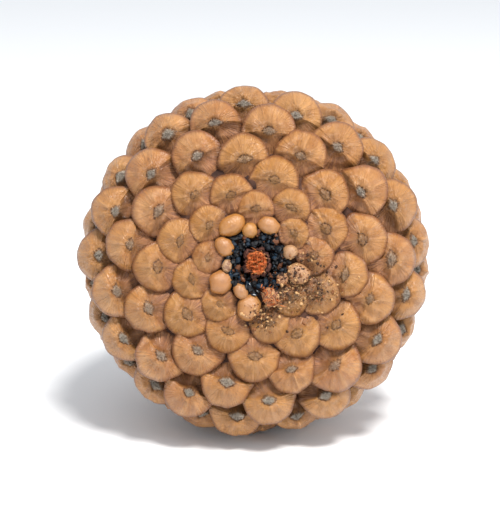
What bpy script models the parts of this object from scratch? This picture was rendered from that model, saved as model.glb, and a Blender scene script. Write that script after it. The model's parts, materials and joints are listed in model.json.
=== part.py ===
"""A ripe pine cone lying on its side, its broken stalk end turned towards -Y.

Metres, +Z up, the surface it lies on at z = 0. The cone is worked out upright in its
own frame, with the stalk end at the bottom and the tip up, and then laid down.
"""

import math
from dataclasses import dataclass

import bmesh
import bpy
import numpy as np
from mathutils import Matrix, Vector

# The outline that the middles of the scales' faces follow, in the upright cone's frame.
GIRTH_RADIUS = 0.0445
GIRTH_HEIGHT = 0.026
CONE_HEIGHT = 0.096
BASE_SQUARENESS = 3.9
TIP_FULLNESS = 0.80
TIP_LEAN = 1.6
OUTLINE_POINTS = 400

# The spiral: one scale at each golden angle, from the stalk to the tip.
GOLDEN_ANGLE = math.radians(137.508)
FIRST_ANGLE = math.radians(171.4)
FIRST_RADIUS = 0.0078
LAST_RADIUS = 0.0062
KNOB_COUNT = 12

# Sizes of the scales: small by the stalk and at the tip, largest up the flank.
FULL_SIZE = 0.0121
SIZE_START = 0.0034
SIZE_REACH = 0.0120
FLANK_GROWTH = 0.24
TIP_EXTRA_SIZE = 0.0035

# How far the scales have opened, in degrees off the closed outline, and how far their
# plates lean from the way the faces look.
OPEN_AT_STALK = 7.0
OPEN_AT_GIRTH = 56.0
OPEN_AT_TIP = 16.0
OPENING_POWER = 4.0
CLOSING_POWER = 0.7
LEAN_AT_STALK = 8.0
LEAN_AT_GIRTH = 60.0
LEAST_PLATE_ANGLE = 62.0
MOST_PLATE_ANGLE = 140.0

# One scale's face, in shares of its size: a blunt arch outwards and a kite's heel inwards.
HALF_WIDTH = 0.68
TIP_LENGTH = 0.62
HEEL_LENGTH = 0.64
TIP_POWER = 1.9
HEEL_POWER = 1.4
KEEL_DROP = 0.20
TIP_DROP = 0.34
HEEL_DROP = 0.32

# The small round knobs by the stalk, in shares of their size.
KNOB_HALF_WIDTH = 0.48
KNOB_DROP = 0.30

# The plate behind a face, in shares of the scale's size.
NECK_BACK = 0.85
NECK_HALF_WIDTH = 0.30
NECK_HALF_THICKNESS = 0.10
SHORT_PLATE = 1.2
SHORT_PLATES_WITHIN = 0.030

# The woody axis: radius and height of its turned profile, from the tip down its flank
# and in over the stalk end.
AXIS_PROFILE = [
    (0.0, CONE_HEIGHT - 0.002),
    (0.004, CONE_HEIGHT - 0.004),
    (0.010, CONE_HEIGHT * 0.86),
    (0.018, GIRTH_HEIGHT * 2),
    (0.024, GIRTH_HEIGHT),
    (0.033, 0.0110),
    (0.030, 0.0070),
    (0.022, 0.0038),
    (0.012, 0.0028),
    (0.0, 0.0028),
]
AXIS_SIDES = 16
ROOT_DEPTH = 0.0020

# The stub of the broken stalk, and the socket in the axis that it sits in.
SOCKET_RADIUS = 0.0050
SOCKET_FLOOR = 0.0105
STUB_GAP = 0.0003
STUB_TOP = -0.0012
STUB_SIDES = 24
STUB_CHIP = 0.0007

# Small irregularities of growth.
GROWTH_SEED = 12
SIZE_SPREAD = 0.045
ANGLE_SPREAD = math.radians(1.6)
TILT_SPREAD = 4.5
TWIST_SPREAD = math.radians(3.5)

# Facets of a scale: sides round it, and the share of its length where face and neck end.
SCALE_SIDES = 8
SCALE_STATIONS = 3
FACE_STATION = 1 / 3
NECK_STATION = 2 / 3

# How the cone lies: its axis tipped down towards the tip, and its lowest tips worn flat.
LYING_PITCH = math.radians(14.6)
LYING_ROLL = math.radians(0.2)
REST_WEAR = 0.0007

SCALE_COLOUR = (0.33, 0.18, 0.085, 1.0)
STUB_COLOUR = (0.30, 0.11, 0.045, 1.0)


@dataclass
class Scale:
    """One scale of the cone: where its umbo is, which way it faces and how large it is."""

    index: int
    azimuth: float
    radius: float
    height: float
    facing: float
    lean: float
    twist: float
    size: float
    knob: bool


def clear_scene():
    """Remove every object, so that the model starts from an empty scene."""
    for obj in list(bpy.data.objects):
        bpy.data.objects.remove(obj)


def make_material(name, colour, roughness):
    """A plain Principled material."""
    material = bpy.data.materials.new(name)
    material.use_nodes = True
    shader = material.node_tree.nodes["Principled BSDF"]
    shader.inputs["Base Color"].default_value = colour
    shader.inputs["Roughness"].default_value = roughness
    shader.inputs["Metallic"].default_value = 0.0
    return material


def outline():
    """Distance along the cone's outline, with its radius and height there."""
    turn = np.linspace(0.0, math.pi / 2, OUTLINE_POINTS)
    power = 2 / BASE_SQUARENESS
    base_radius = GIRTH_RADIUS * np.sin(turn) ** power
    base_height = GIRTH_HEIGHT * (1 - np.clip(np.cos(turn), 0, 1) ** power)
    rise = np.linspace(0.0, 1.0, OUTLINE_POINTS)[1:]
    tip_radius = GIRTH_RADIUS * (1 - rise**TIP_LEAN) ** TIP_FULLNESS
    tip_height = GIRTH_HEIGHT + rise * (CONE_HEIGHT - GIRTH_HEIGHT)
    radius = np.concatenate([base_radius, tip_radius])
    height = np.concatenate([base_height, tip_height])
    along = np.concatenate([[0.0], np.cumsum(np.hypot(np.diff(radius), np.diff(height)))])
    return along, radius, height


def size_at(radius, height):
    """Size of a scale at this place of the outline."""
    past_girth = min(max((height - GIRTH_HEIGHT / 2) / GIRTH_HEIGHT, 0.0), 1.0)
    start = SIZE_START - TIP_EXTRA_SIZE * past_girth
    full = FULL_SIZE * (1 + FLANK_GROWTH * past_girth)
    return full * (1 - math.exp(-(radius - start) / SIZE_REACH))


def opening_at(radius, past_girth):
    """How far a scale has opened, and how far its plate leans, both in degrees."""
    if past_girth:
        ease = (radius / GIRTH_RADIUS) ** CLOSING_POWER
        return OPEN_AT_TIP + (OPEN_AT_GIRTH - OPEN_AT_TIP) * ease, LEAN_AT_GIRTH
    ease = (radius / GIRTH_RADIUS) ** OPENING_POWER
    opening = OPEN_AT_STALK + (OPEN_AT_GIRTH - OPEN_AT_STALK) * ease
    return opening, LEAN_AT_STALK + (LEAN_AT_GIRTH - LEAN_AT_STALK) * ease


def grow_spiral():
    """All the scales, each one golden angle on and one scale's area up from the last."""
    along, radii, heights = outline()
    rng = np.random.default_rng(GROWTH_SEED)
    girth = along[int(np.argmax(radii))]
    place = float(np.interp(FIRST_RADIUS, radii[:OUTLINE_POINTS], along[:OUTLINE_POINTS]))
    step = 0.0005
    scales = []
    while True:
        radius = float(np.interp(place, along, radii))
        if place > girth and radius < LAST_RADIUS:
            return scales
        height = float(np.interp(place, along, heights))
        outward = np.interp(place + step, along, radii) - np.interp(place - step, along, radii)
        upward = np.interp(place + step, along, heights) - np.interp(place - step, along, heights)
        opening, lean = opening_at(radius, place > girth)
        size = size_at(radius, height)
        size_draw, angle_draw, tilt_draw, twist_draw = rng.uniform(-1, 1, 4)
        index = len(scales) + 1
        facing = math.degrees(math.atan2(upward, outward)) - opening + TILT_SPREAD * tilt_draw
        scales.append(
            Scale(
                index=index,
                azimuth=FIRST_ANGLE - GOLDEN_ANGLE * (index - 1) + ANGLE_SPREAD * angle_draw,
                radius=radius,
                height=height,
                facing=math.radians(facing),
                lean=math.radians(lean),
                twist=TWIST_SPREAD * twist_draw,
                size=size * (1 + SIZE_SPREAD * size_draw),
                knob=index <= KNOB_COUNT,
            )
        )
        place += size**2 / (2 * math.pi * radius)


def rim_radius(scale, around):
    """Outline of a scale's face round its umbo."""
    if scale.knob:
        return np.full_like(around, KNOB_HALF_WIDTH)
    c, s = np.abs(np.cos(around)), np.abs(np.sin(around))
    tip = ((c / HALF_WIDTH) ** TIP_POWER + (s / TIP_LENGTH) ** TIP_POWER) ** (-1 / TIP_POWER)
    heel = ((c / HALF_WIDTH) ** HEEL_POWER + (s / HEEL_LENGTH) ** HEEL_POWER) ** (-1 / HEEL_POWER)
    return np.where(np.sin(around) >= 0, tip, heel)


def face_drop(scale, around, share):
    """Depth of the face below its umbo: a cross keel, a bulging tip and a hollow heel."""
    if scale.knob:
        return KNOB_DROP * share**2
    s = np.abs(np.sin(around))
    outer = np.sin(around) >= 0
    depth = KEEL_DROP + (np.where(outer, TIP_DROP, HEEL_DROP) - KEEL_DROP) * s
    power = 1.3 + np.where(outer, 0.9, -0.4) * s
    return depth * share**power


def root_of(scale):
    """Where a scale grows from the axis, in the y and z of its own frame."""
    plate = max(scale.facing + scale.lean, math.radians(LEAST_PLATE_ANGLE))
    plate = min(plate, math.radians(MOST_PLATE_ANGLE))
    reach = scale.radius - ROOT_DEPTH
    rise = reach / math.tan(plate)
    y = rise * math.sin(scale.facing) - reach * math.cos(scale.facing)
    z = -reach * math.sin(scale.facing) - rise * math.cos(scale.facing)
    least = SHORT_PLATE * scale.size
    near_stalk = scale.radius < SHORT_PLATES_WITHIN and scale.height < GIRTH_HEIGHT
    if near_stalk or math.hypot(y, z) < least:
        return -math.sin(scale.lean) * least, -math.cos(scale.lean) * least
    return y, z


def scale_points(scale, around, station):
    """Points of a scale in its own frame: x across, y to its tip, z out of its face."""
    c, s = np.cos(around), np.sin(around)
    share = np.clip(station / FACE_STATION, 0, 1)
    rim = rim_radius(scale, around) * share
    face = np.stack([rim * c, rim * s, -face_drop(scale, around, share)], axis=1) * scale.size

    # The neck is a four-sided plate: its sides come together in its corners.
    spine = np.array([0.0, math.sin(scale.lean), math.cos(scale.lean)])
    thick = np.array([0.0, math.cos(scale.lean), -math.sin(scale.lean)])
    corner = (np.floor(around / (math.pi / 2) + 0.001) + 0.5) * math.pi / 2
    wide = np.sign(np.cos(corner))[:, None] * [NECK_HALF_WIDTH, 0.0, 0.0]
    deep = np.sign(np.sin(corner))[:, None] * NECK_HALF_THICKNESS * thick
    neck = (wide + deep - spine * NECK_BACK) * scale.size

    root = np.array([0.0, *root_of(scale)])
    to_neck = np.clip((station - FACE_STATION) / (NECK_STATION - FACE_STATION), 0, 1)[:, None]
    to_root = np.clip((station - NECK_STATION) / (1 - NECK_STATION), 0, 1)[:, None]
    points = face * (1 - to_neck) + neck * to_neck
    return points * (1 - to_root) + root * to_root


def scale_frame(scale):
    """Matrix from a scale's own frame to the upright cone's."""
    radial = Vector((math.cos(scale.azimuth), math.sin(scale.azimuth), 0.0))
    up = Vector((0.0, 0.0, 1.0))
    out = radial * math.sin(scale.facing) - up * math.cos(scale.facing)
    to_tip = radial * math.cos(scale.facing) + up * math.sin(scale.facing)
    turned = Matrix((to_tip.cross(out), to_tip, out)).transposed().to_4x4()
    place = radial * scale.radius + up * scale.height
    return Matrix.Translation(place) @ turned @ Matrix.Rotation(scale.twist, 4, "Z")


def make_scale(scale, material):
    """One scale as a closed solid: a ball's rings drawn out into face, neck and root."""
    mesh = bmesh.new()
    bmesh.ops.create_uvsphere(mesh, u_segments=SCALE_SIDES, v_segments=SCALE_STATIONS, radius=1)
    ball = np.array([vertex.co for vertex in mesh.verts])
    around = np.arctan2(ball[:, 1], ball[:, 0])
    station = np.arccos(np.clip(ball[:, 2], -1, 1)) / math.pi
    for vertex, point in zip(mesh.verts, scale_points(scale, around, station)):
        vertex.co = point
    bmesh.ops.remove_doubles(mesh, verts=mesh.verts, dist=0.00002)
    mesh.transform(scale_frame(scale))
    data = bpy.data.meshes.new(f"scale_{scale.index:03d}")
    mesh.to_mesh(data)
    mesh.free()
    data.materials.append(material)
    return bpy.data.objects.new(data.name, data)


def make_turned(name, profile, sides, material):
    """A solid turned round the upright axis from a profile that runs from top to bottom."""
    data = bpy.data.meshes.new(name)
    points = [(radius, 0.0, height) for radius, height in profile]
    data.from_pydata(points, [(i, i + 1) for i in range(len(points) - 1)], [])
    data.materials.append(material)
    turned = bpy.data.objects.new(name, data)
    screw = turned.modifiers.new("turn", "SCREW")
    screw.steps = sides
    screw.render_steps = sides
    screw.use_merge_vertices = True
    screw.merge_threshold = 0.00001
    return turned


def apply_modifiers(obj):
    """Put an object's evaluated mesh in its place, with no modifiers left."""
    graph = bpy.context.evaluated_depsgraph_get()
    mesh = bpy.data.meshes.new_from_object(obj.evaluated_get(graph))
    obj.modifiers.clear()
    obj.data = mesh


def keep_largest_body(obj):
    """Drop loose scraps and the walls of sealed hollows, which leaves one solid body."""
    mesh = bmesh.new()
    mesh.from_mesh(obj.data)
    left = set(mesh.verts)
    bodies = []
    while left:
        body = {left.pop()}
        edge_of_body = list(body)
        while edge_of_body:
            near = {edge.other_vert(v) for v in edge_of_body for edge in v.link_edges} & left
            left -= near
            body |= near
            edge_of_body = list(near)
        bodies.append(body)
    bodies.sort(key=len)
    scraps = [vertex for body in bodies[:-1] for vertex in body]
    bmesh.ops.delete(mesh, geom=scraps, context="VERTS")
    mesh.to_mesh(obj.data)
    mesh.free()


def fuse(target, pieces):
    """Join pieces to the target by one Boolean union, and remove them."""
    for piece in pieces:
        bpy.context.scene.collection.objects.link(piece)
    group = bpy.data.collections.new("to_fuse")
    for piece in pieces:
        group.objects.link(piece)
    union = target.modifiers.new("union", "BOOLEAN")
    union.operation = "UNION"
    union.operand_type = "COLLECTION"
    union.collection = group
    union.solver = "MANIFOLD"
    apply_modifiers(target)
    for piece in pieces:
        bpy.data.objects.remove(piece)
    bpy.data.collections.remove(group)


def lying_matrix():
    """Turn from the upright cone to the lying one: the tip goes to +Y and dips down."""
    laid = Matrix.Rotation(-math.pi / 2 - LYING_PITCH, 4, "X")
    return Matrix.Rotation(LYING_ROLL, 4, "Y") @ laid


def lay_down(obj, shift):
    """Turn an object into the lying position, and move it by the shift."""
    obj.data.transform(Matrix.Translation(shift) @ lying_matrix())


def cut_away(obj, name, shape):
    """Cut a closed bmesh shape out of an object, and free the shape."""
    data = bpy.data.meshes.new(name)
    shape.to_mesh(data)
    shape.free()
    cutter = bpy.data.objects.new(name, data)
    bpy.context.scene.collection.objects.link(cutter)
    cut = obj.modifiers.new(name, "BOOLEAN")
    cut.operation = "DIFFERENCE"
    cut.object = cutter
    cut.solver = "MANIFOLD"
    apply_modifiers(obj)
    bpy.data.objects.remove(cutter)


def bore_socket(cone):
    """Bore the round socket of the stalk into the middle of the stalk end."""
    bore = bmesh.new()
    bmesh.ops.create_cone(
        bore,
        cap_ends=True,
        segments=STUB_SIDES,
        radius1=SOCKET_RADIUS,
        radius2=SOCKET_RADIUS,
        depth=2 * SOCKET_FLOOR,
    )
    cut_away(cone, "socket", bore)


def wear_flat(cone):
    """Cut the lowest tips level with the surface, so that the cone rests on flat spots."""
    block = bmesh.new()
    bmesh.ops.create_cube(block, size=4 * CONE_HEIGHT)
    block.transform(Matrix.Translation((0, 0, -2 * CONE_HEIGHT)))
    cut_away(cone, "wear", block)


def make_stub(material):
    """The stub of the broken stalk, with a rough end, in the socket of the axis."""
    radius = SOCKET_RADIUS - STUB_GAP
    profile = [
        (0.0, SOCKET_FLOOR - STUB_GAP),
        (radius, SOCKET_FLOOR - STUB_GAP),
        (radius, 0.0008),
        (radius * 0.93, STUB_TOP * 0.6),
        (radius * 0.75, STUB_TOP * 0.5),
        (radius * 0.55, STUB_TOP),
        (radius * 0.30, STUB_TOP * 0.7),
        (0.0, STUB_TOP),
    ]
    stub = make_turned("stalk_stub", profile, STUB_SIDES, material)
    bpy.context.scene.collection.objects.link(stub)
    apply_modifiers(stub)
    rng = np.random.default_rng(GROWTH_SEED)
    for vertex in stub.data.vertices:
        if vertex.co.z < 0.0005:
            vertex.co.z += STUB_CHIP * rng.uniform(-1, 1)
    return stub


def main():
    """Build the cone and its stalk stub, and lay them on the surface."""
    clear_scene()
    scale_material = make_material("cone_scale", SCALE_COLOUR, 0.62)
    stub_material = make_material("stalk_wood", STUB_COLOUR, 0.8)
    cone = make_turned("cone", AXIS_PROFILE, AXIS_SIDES, scale_material)
    bpy.context.scene.collection.objects.link(cone)
    fuse(cone, [make_scale(scale, scale_material) for scale in grow_spiral()])
    bore_socket(cone)
    stub = make_stub(stub_material)

    lay_down(cone, Vector())
    corners = np.array([vertex.co for vertex in cone.data.vertices])
    middle = (corners.min(axis=0) + corners.max(axis=0)) / 2
    lowest = corners[:, 2].min()
    shift = Vector((-middle[0], -middle[1], -lowest - REST_WEAR))
    cone.data.transform(Matrix.Translation(shift))
    wear_flat(cone)
    keep_largest_body(cone)
    lay_down(stub, shift)

    group = bpy.data.collections.new("pine_cone")
    bpy.context.scene.collection.children.link(group)
    for obj in (cone, stub):
        bpy.context.scene.collection.objects.unlink(obj)
        group.objects.link(obj)


main()
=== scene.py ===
"""A ripe pine cone on its side, dressed over its CAD frame.

The seed scales stand where the frame's solids have them: the same growth rule gives each
scale its place, and a finer formula gives it its ridges, its umbo and its rounded rim. The
knobs round the stalk, the broken stalk, the resin, which also stands for the shade round
the stalk, and the crumbs are pieces of their own.
"""

import json
import logging
import math
from dataclasses import dataclass, field
from enum import Enum

import bmesh
import bpy
import numpy as np
from mathutils import Matrix, Vector
from mathutils.bvhtree import BVHTree

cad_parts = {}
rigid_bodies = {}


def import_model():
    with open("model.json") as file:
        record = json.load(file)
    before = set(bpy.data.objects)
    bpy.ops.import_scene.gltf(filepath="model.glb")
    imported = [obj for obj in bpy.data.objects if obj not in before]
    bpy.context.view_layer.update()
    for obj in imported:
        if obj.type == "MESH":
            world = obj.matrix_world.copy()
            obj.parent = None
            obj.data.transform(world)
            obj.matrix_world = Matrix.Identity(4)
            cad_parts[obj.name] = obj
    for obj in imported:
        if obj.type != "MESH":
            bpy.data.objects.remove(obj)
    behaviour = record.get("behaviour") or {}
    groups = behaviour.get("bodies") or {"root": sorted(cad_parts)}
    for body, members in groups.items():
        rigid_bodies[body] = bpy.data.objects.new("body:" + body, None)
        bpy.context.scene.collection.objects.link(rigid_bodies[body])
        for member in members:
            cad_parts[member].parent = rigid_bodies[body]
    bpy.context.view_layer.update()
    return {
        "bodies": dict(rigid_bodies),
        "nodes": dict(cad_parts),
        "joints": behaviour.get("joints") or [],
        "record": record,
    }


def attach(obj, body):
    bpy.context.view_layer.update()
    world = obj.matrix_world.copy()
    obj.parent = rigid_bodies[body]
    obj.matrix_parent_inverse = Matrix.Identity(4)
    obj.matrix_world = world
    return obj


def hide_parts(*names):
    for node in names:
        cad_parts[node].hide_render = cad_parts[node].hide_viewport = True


LOG = logging.getLogger("pine_cone")
BODY = "root"
TORN_KNOB = 7
Colour = tuple[float, float, float]
Array = np.ndarray


class Slot(Enum):
    """The record's material slots."""

    SCALE = "cone_scale"
    STALK = "stalk_wood"


class Node(Enum):
    """The frame's nodes."""

    CONE = "cone"
    STUB = "stalk_stub"


# Growth: where each scale stands.


@dataclass(frozen=True)
class Scale:
    """One scale of the cone: where its umbo is, which way it faces and how large it is."""

    index: int
    azimuth: float
    radius: float
    height: float
    facing: float
    lean: float
    twist: float
    size: float

    def frame(self) -> Matrix:
        """Matrix from the scale's own frame to the upright cone's."""
        radial = Vector((math.cos(self.azimuth), math.sin(self.azimuth), 0.0))
        up = Vector((0.0, 0.0, 1.0))
        out = radial * math.sin(self.facing) - up * math.cos(self.facing)
        to_tip = radial * math.cos(self.facing) + up * math.sin(self.facing)
        turned = Matrix((to_tip.cross(out), to_tip, out)).transposed().to_4x4()
        place = radial * self.radius + up * self.height
        return Matrix.Translation(place) @ turned @ Matrix.Rotation(self.twist, 4, "Z")


@dataclass
class Growth:
    """The rule that places the scales, with the CAD model's own values."""

    girth_radius: float = 0.0445
    girth_height: float = 0.026
    cone_height: float = 0.096
    base_squareness: float = 3.9
    tip_fullness: float = 0.80
    tip_lean: float = 1.6
    outline_points: int = 400
    golden_angle: float = math.radians(137.508)
    first_angle: float = math.radians(171.4)
    first_radius: float = 0.0078
    last_radius: float = 0.0062
    knob_count: int = 12
    full_size: float = 0.0121
    size_start: float = 0.0034
    size_reach: float = 0.0120
    flank_growth: float = 0.24
    tip_extra_size: float = 0.0035
    open_at_stalk: float = 7.0
    open_at_girth: float = 56.0
    open_at_tip: float = 16.0
    opening_power: float = 4.0
    closing_power: float = 0.7
    lean_at_stalk: float = 8.0
    lean_at_girth: float = 60.0
    seed: int = 12
    size_spread: float = 0.045
    angle_spread: float = math.radians(1.6)
    tilt_spread: float = 4.5
    twist_spread: float = math.radians(3.5)
    lying_pitch: float = math.radians(14.6)
    lying_roll: float = math.radians(0.2)

    def outline(self) -> tuple[Array, Array, Array]:
        """Distance along the cone's outline, with its radius and height there."""
        turn = np.linspace(0.0, math.pi / 2, self.outline_points)
        power = 2 / self.base_squareness
        base_radius = self.girth_radius * np.sin(turn) ** power
        base_height = self.girth_height * (1 - np.clip(np.cos(turn), 0, 1) ** power)
        rise = np.linspace(0.0, 1.0, self.outline_points)[1:]
        tip_radius = self.girth_radius * (1 - rise**self.tip_lean) ** self.tip_fullness
        tip_height = self.girth_height + rise * (self.cone_height - self.girth_height)
        radius = np.concatenate([base_radius, tip_radius])
        height = np.concatenate([base_height, tip_height])
        along = np.concatenate([[0.0], np.cumsum(np.hypot(np.diff(radius), np.diff(height)))])
        return along, radius, height

    def size_at(self, radius: float, height: float) -> float:
        """Size of a scale at this place of the outline."""
        past_girth = min(max((height - self.girth_height / 2) / self.girth_height, 0.0), 1.0)
        start = self.size_start - self.tip_extra_size * past_girth
        full = self.full_size * (1 + self.flank_growth * past_girth)
        return full * (1 - math.exp(-(radius - start) / self.size_reach))

    def opening_at(self, radius: float, past_girth: bool) -> tuple[float, float]:
        """How far a scale has opened, and how far its plate leans, both in degrees."""
        share = radius / self.girth_radius
        if past_girth:
            opened = self.open_at_tip + (self.open_at_girth - self.open_at_tip) * share**self.closing_power
            return opened, self.lean_at_girth
        opened = self.open_at_stalk + (self.open_at_girth - self.open_at_stalk) * share**self.opening_power
        lean = self.lean_at_stalk + (self.lean_at_girth - self.lean_at_stalk) * share**self.opening_power
        return opened, lean

    def scales(self) -> list[Scale]:
        """All the scales, from the stalk to the tip."""
        along, radii, heights = self.outline()
        rng = np.random.default_rng(self.seed)
        girth = along[int(np.argmax(radii))]
        base = slice(0, self.outline_points)
        place = float(np.interp(self.first_radius, radii[base], along[base]))
        step = 0.0005
        scales: list[Scale] = []
        while True:
            radius = float(np.interp(place, along, radii))
            if place > girth and radius < self.last_radius:
                return scales
            height = float(np.interp(place, along, heights))
            outward = np.interp(place + step, along, radii) - np.interp(place - step, along, radii)
            upward = np.interp(place + step, along, heights) - np.interp(place - step, along, heights)
            opening, lean = self.opening_at(radius, place > girth)
            size = self.size_at(radius, height)
            size_draw, angle_draw, tilt_draw, twist_draw = rng.uniform(-1, 1, 4)
            index = len(scales) + 1
            turn = self.golden_angle * (index - 1)
            facing = math.degrees(math.atan2(upward, outward)) - opening
            scales.append(
                Scale(
                    index=index,
                    azimuth=self.first_angle - turn + self.angle_spread * angle_draw,
                    radius=radius,
                    height=height,
                    facing=math.radians(facing + self.tilt_spread * tilt_draw),
                    lean=math.radians(lean),
                    twist=self.twist_spread * twist_draw,
                    size=size * (1 + self.size_spread * size_draw),
                )
            )
            place += size**2 / (2 * math.pi * radius)

    def lying(self) -> Matrix:
        """Turn from the upright cone to the lying one."""
        laid = Matrix.Rotation(-math.pi / 2 - self.lying_pitch, 4, "X")
        return Matrix.Rotation(self.lying_roll, 4, "Y") @ laid

    def placed(self, stub: bpy.types.Object, stub_foot: float) -> Matrix:
        """Matrix from the upright cone to the frame, read off where the CAD stub's foot is.

        Args:
            stub: the CAD node of the stalk stub.
            stub_foot: height of its foot in the upright cone.

        Returns:
            The lying turn with the shift that puts the foot where the frame has it.
        """
        turned = self.lying()
        points = np.array([turned.inverted() @ vertex.co for vertex in stub.data.vertices])
        foot = points[points[:, 2] > points[:, 2].max() - 1e-5]
        middle = (foot.min(axis=0) + foot.max(axis=0)) / 2
        shift = Vector(middle) - Vector((0.0, 0.0, stub_foot))
        return turned @ Matrix.Translation(shift)


# Form: how one scale is shaped.


class Lumps:
    """Smooth seeded unevenness over a plane: a sum of a few plane waves."""

    def __init__(self, rng: np.random.Generator, waves: int, shortest: float, longest: float) -> None:
        """Draws the waves.

        Args:
            rng: the random source.
            waves: how many waves are added.
            shortest: the shortest wave length.
            longest: the longest wave length.
        """
        angle = rng.uniform(0, 2 * math.pi, waves)
        length = np.exp(rng.uniform(math.log(shortest), math.log(longest), waves))
        self.pull = np.stack([np.cos(angle), np.sin(angle)]) * 2 * math.pi / length
        self.phase = rng.uniform(0, 2 * math.pi, waves)
        self.gain = 1 / math.sqrt(waves)

    def at(self, x: Array, y: Array) -> Array:
        """Height of the unevenness, about -1 to 1."""
        wave = np.outer(x, self.pull[0]) + np.outer(y, self.pull[1]) + self.phase
        return np.sin(wave).sum(axis=1) * self.gain


def smooth_step(low: float, high: float, value: Array) -> Array:
    """Smooth ramp from 0 at low to 1 at high."""
    share = straight_step(low, high, value)
    return share * share * (3 - 2 * share)


def straight_step(low: float, high: float, value: Array) -> Array:
    """Straight ramp from 0 at low to 1 at high."""
    return np.clip((value - low) / (high - low), 0, 1)


def ridge(value: Array, middle: float, width: float) -> Array:
    """Bell of height 1 about a middle value."""
    return np.exp(-(((value - middle) / width) ** 2))


@dataclass
class Points:
    """The points of one scale in its own frame, with the marks that its finish reads."""

    place: Array
    marks: Array
    tones: Array
    flat: Array
    polar: Array


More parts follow.
